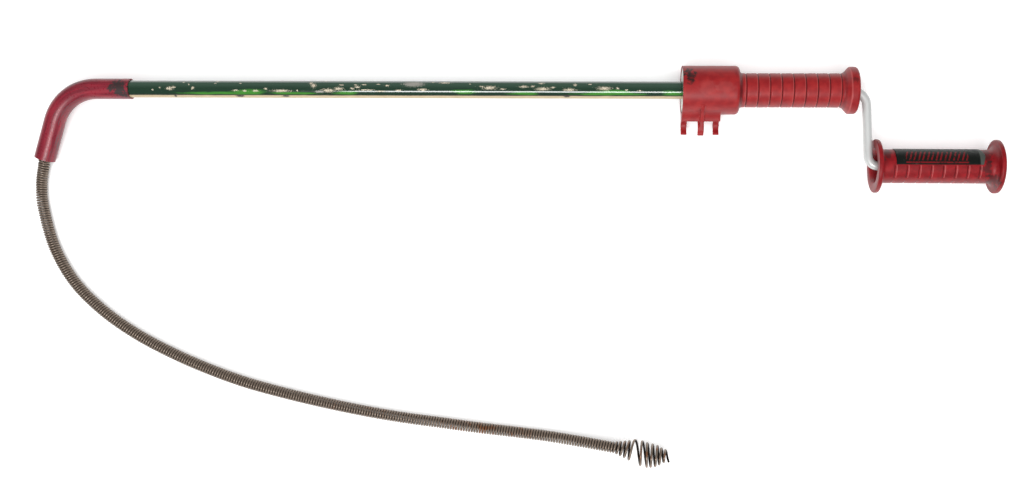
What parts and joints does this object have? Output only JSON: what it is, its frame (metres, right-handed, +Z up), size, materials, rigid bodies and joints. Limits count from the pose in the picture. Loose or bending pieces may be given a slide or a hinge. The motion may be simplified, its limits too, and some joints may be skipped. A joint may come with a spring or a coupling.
{
  "type": "hand-cranked closet auger",
  "caption": "Hand-cranked drain snake: bent guide tube with a bowl guard, ringed handle, offset crank and a coiled cable with a bulb head.",
  "frame": {"origin": "bottom centre of the tool without its free cable, on the floor it lies on", "axes": "+X along the guide tube towards the crank, +Z up from the floor, -Y towards the side that the elbow, crank and cable point to"},
  "size_m": [1.0701, 0.4419, 0.0578],
  "materials": {
    "green_paint": "dark green enamel, chipped to pale primer and bare steel, worn glossy",
    "red_vinyl": "crimson dipped vinyl, semi-gloss, with grey rub marks",
    "red_plastic": "moulded red plastic, satin, faded",
    "deep_red_plastic": "moulded deep red plastic, semi-gloss",
    "plated_steel": "bright zinc plate, satin",
    "plain_steel": "turned steel, oiled",
    "spring_steel": "dark oil-blackened spring wire with rust",
    "nylon": "natural nylon",
    "felt": "oiled grey felt",
    "black_label": "printed black film, rubbed"
  },
  "bodies": {
    "guide": {"guide_tube": "green_paint", "bowl_guard": "red_vinyl", "handle_body": "red_plastic", "end_plate": "plated_steel", "tube_collar": "plain_steel", "collar_set_screw": "plain_steel", "rod_bush": "nylon", "rod_wiper": "felt", "cable_in_guide": "spring_steel", "snake_cable": "spring_steel"},
    "rod_slide": {"guide_sleeve": "nylon"},
    "crank": {"crank_rod": "plated_steel", "cable_coupling": "plain_steel", "coupling_pin": "plain_steel", "sleeve_ring": "plain_steel", "grip_washer_inner": "plated_steel", "grip_washer_outer": "plated_steel", "push_nut": "plain_steel"},
    "grip": {"crank_grip": "deep_red_plastic", "grip_bush_inner": "nylon", "grip_bush_outer": "nylon", "grip_end_cap": "deep_red_plastic", "grip_label": "black_label"},
    "bulb": {"bulb_head": "spring_steel"}
  },
  "joints": [
    {"name": "rod_feed", "type": "slide", "parent": "guide", "child": "rod_slide", "axis": [1, 0, 0], "range_m": [0, 0.76]},
    {"name": "crank_spin", "type": "hinge", "parent": "rod_slide", "child": "crank", "pos_m": [0.29479, 0.04223, 0.0264], "axis": [1, 0, 0], "continuous": true},
    {"name": "grip_spin", "type": "hinge", "parent": "crank", "child": "grip", "pos_m": [0.45479, -0.03973, 0.0289], "axis": [1, 0, 0], "continuous": true},
    {"name": "bulb_spin", "type": "hinge", "parent": "guide", "child": "bulb", "pos_m": [0.1227, -0.3514, 0.0132], "axis": [0.9888, -0.1376, 0.0576], "continuous": true}
  ],
  "couplings": [
    {"joint": "bulb_spin", "follows": "crank_spin", "ratio": -1}
  ]
}
